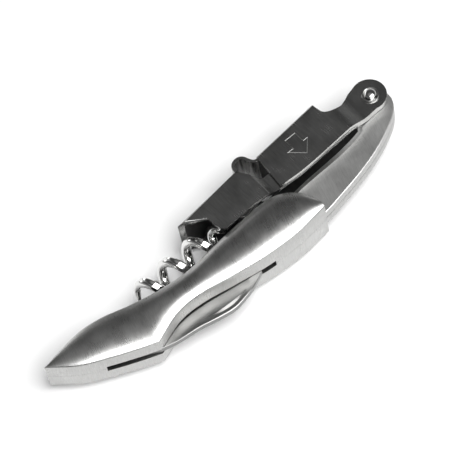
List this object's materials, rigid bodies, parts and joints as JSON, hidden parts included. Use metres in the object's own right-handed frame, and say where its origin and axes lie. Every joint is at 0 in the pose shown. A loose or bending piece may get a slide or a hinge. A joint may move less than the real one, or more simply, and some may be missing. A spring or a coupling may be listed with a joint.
{
  "type": "lever corkscrew",
  "caption": "Folding waiter's corkscrew in stainless steel: domed handle, two-step nested levers with a crown-cap notch, swing-out worm and foil knife.",
  "frame": {"origin": "bottom centre of the folded object's bounding box, lying on its side", "axes": "+X from the pointed tail to the lever hinge, +Y from the back edge to the levers, +Z through the thickness, up"},
  "size_m": [0.1218, 0.0322, 0.0156],
  "materials": {
    "satin_casting": "satin",
    "brushed_sheet": "brushed",
    "polished_wire": "polished",
    "blade_steel": "satin",
    "spring_steel": "satin",
    "pin_steel": "turned"
  },
  "bodies": {
    "handle": {"handle_near": "satin_casting", "handle_far": "satin_casting", "dowel_tail": "pin_steel", "dowel_middle": "pin_steel", "dowel_neck": "pin_steel", "knife_pin": "pin_steel", "worm_pin": "pin_steel", "spring_pin": "pin_steel", "slip_spring": "spring_steel", "knife_washer_near": "pin_steel", "knife_washer_far": "pin_steel", "worm_washer_near": "pin_steel", "worm_washer_far": "pin_steel", "hinge_bush": "pin_steel", "hinge_ring_near": "pin_steel", "hinge_ring_far": "pin_steel", "hinge_rivet": "polished_wire"},
    "short_lever": {"short_lever": "brushed_sheet", "lever_spring": "spring_steel", "lever_spring_rivet": "pin_steel"},
    "long_lever": {"long_lever": "brushed_sheet"},
    "worm": {"worm": "polished_wire", "worm_knuckle": "pin_steel"},
    "knife": {"knife_blade": "blade_steel"}
  },
  "joints": [
    {"name": "lever_swing", "type": "hinge", "parent": "handle", "child": "short_lever", "pos_m": [0.05618, 0.00605, 0.0078], "axis": [0, 0, -1], "range_deg": [0, 170]},
    {"name": "step_press", "type": "hinge", "parent": "short_lever", "child": "long_lever", "pos_m": [0.05618, 0.00605, 0.0078], "axis": [0, 0, -1], "range_deg": [0, 1.5], "stiffness_Nm_per_rad": 0.2, "springref_deg": -11.46},
    {"name": "worm_swing", "type": "hinge", "parent": "handle", "child": "worm", "pos_m": [0.01107, -0.00205, 0.0078], "axis": [0, 0, -1], "range_deg": [0, 90]},
    {"name": "knife_swing", "type": "hinge", "parent": "handle", "child": "knife", "pos_m": [-0.04142, -0.00435, 0.0078], "axis": [0, 0, -1], "range_deg": [0, 105]}
  ],
  "couplings": [
    {"joint": "worm_swing", "follows": "lever_swing", "ratio": 0.529}
  ]
}
